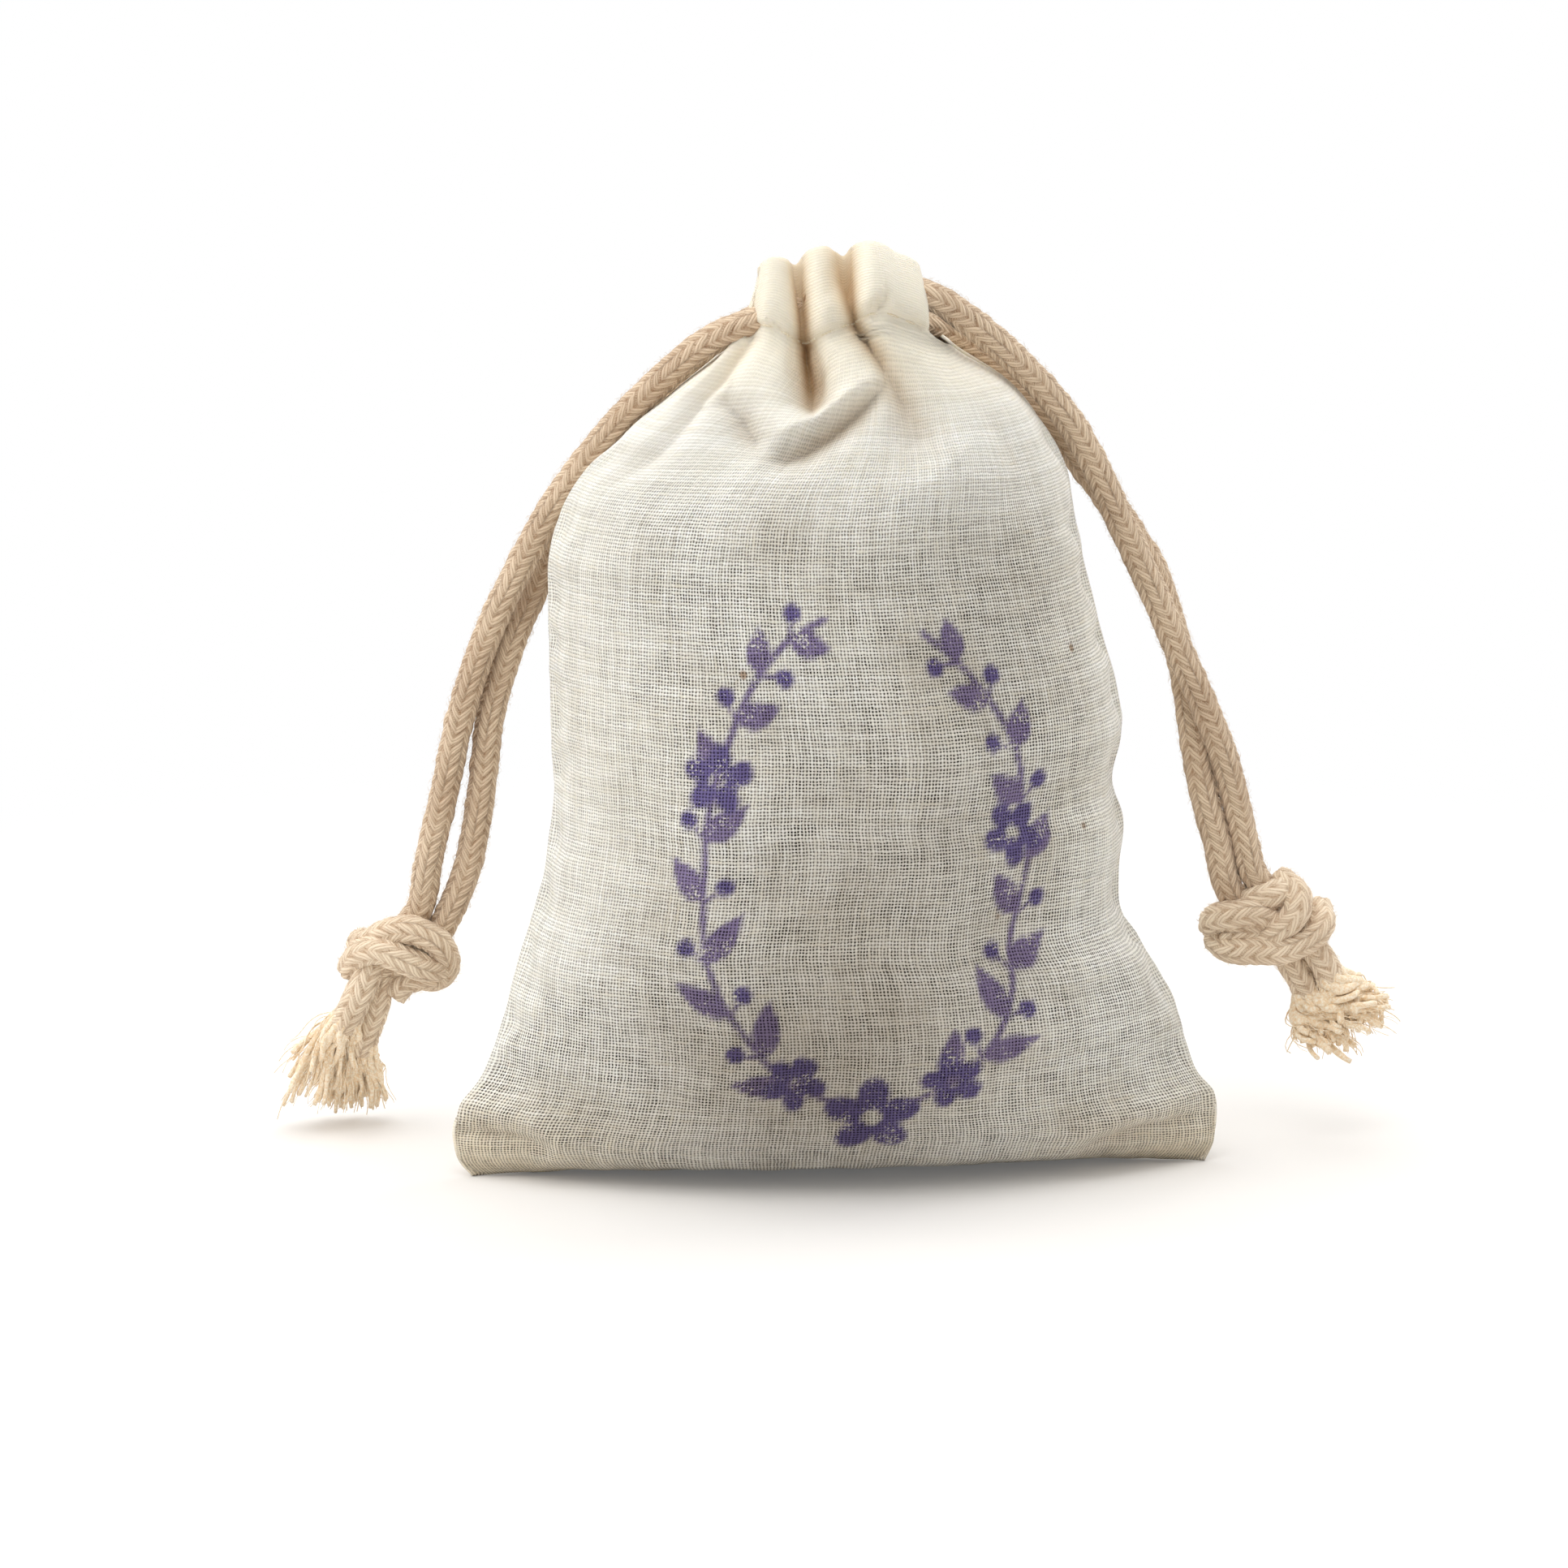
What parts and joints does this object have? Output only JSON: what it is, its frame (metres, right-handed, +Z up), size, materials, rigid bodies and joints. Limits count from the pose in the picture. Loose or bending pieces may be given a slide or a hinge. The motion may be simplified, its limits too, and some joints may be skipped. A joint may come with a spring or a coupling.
{
  "type": "lavender sachet",
  "caption": "Small filled drawstring bag of open-weave cotton, drawn shut at its gathered mouth by opposed knotted cords, for scenting stored clothes.",
  "frame": {"origin": "middle of the bag's base on the surface it stands on", "axes": "+X to the bag's right as seen from its front, -Y out of its front, +Z up"},
  "size_m": [0.1101, 0.0451, 0.0929],
  "materials": {
    "muslin": "open plain weave of unbleached cotton",
    "casing": "folded, denser cotton cloth",
    "thread": "cotton sewing thread",
    "cord": "braided cotton cord",
    "tuft": "loose cotton yarn",
    "buds": "dried lavender buds"
  },
  "bodies": {
    "bag": {"front_panel": "muslin", "back_panel": "muslin", "left_seam_thread": "thread", "right_seam_thread": "thread", "bottom_seam_thread": "thread", "lavender_filling": "buds"},
    "front_lip": {"front_casing": "casing", "front_casing_thread": "thread"},
    "back_lip": {"back_casing": "casing", "back_casing_thread": "thread"},
    "left_cord": {"left_cord_loop": "cord"},
    "right_cord": {"right_cord_loop": "cord"},
    "left_tail": {"left_front_strand": "cord", "left_back_strand": "cord", "left_knot": "cord", "left_front_frayed_end": "tuft", "left_back_frayed_end": "tuft"},
    "right_tail": {"right_front_strand": "cord", "right_back_strand": "cord", "right_knot": "cord", "right_front_frayed_end": "tuft", "right_back_frayed_end": "tuft"}
  },
  "joints": [
    {"name": "left_cord_draw", "type": "slide", "parent": "bag", "child": "left_cord", "axis": [1, 0, 0], "range_m": [0, 0.003], "deforming": ["left_cord_loop", "right_cord_loop", "left_front_strand", "left_back_strand", "right_front_strand", "right_back_strand"]},
    {"name": "right_cord_draw", "type": "slide", "parent": "bag", "child": "right_cord", "axis": [-1, 0, 0], "range_m": [0, 0.003]},
    {"name": "front_lip_open", "type": "hinge", "parent": "bag", "child": "front_lip", "pos_m": [0, -0.0092, 0.0823], "axis": [1, 0, 0], "range_deg": [0, 12]},
    {"name": "back_lip_open", "type": "hinge", "parent": "bag", "child": "back_lip", "pos_m": [0, 0.0092, 0.0823], "axis": [-1, 0, 0], "range_deg": [0, 12]},
    {"name": "left_tail_swing", "type": "hinge", "parent": "left_cord", "child": "left_tail", "pos_m": [-0.0126, 0, 0.0828], "axis": [0, 1, 0], "range_deg": [0, 150]},
    {"name": "right_tail_swing", "type": "hinge", "parent": "right_cord", "child": "right_tail", "pos_m": [0.0126, 0, 0.0843], "axis": [0, -1, 0], "range_deg": [0, 150]}
  ],
  "couplings": [
    {"joint": "right_cord_draw", "follows": "left_cord_draw", "ratio": 1},
    {"joint": "front_lip_open", "follows": "left_cord_draw", "rad_per_m": 69.8},
    {"joint": "back_lip_open", "follows": "left_cord_draw", "rad_per_m": 69.8}
  ]
}
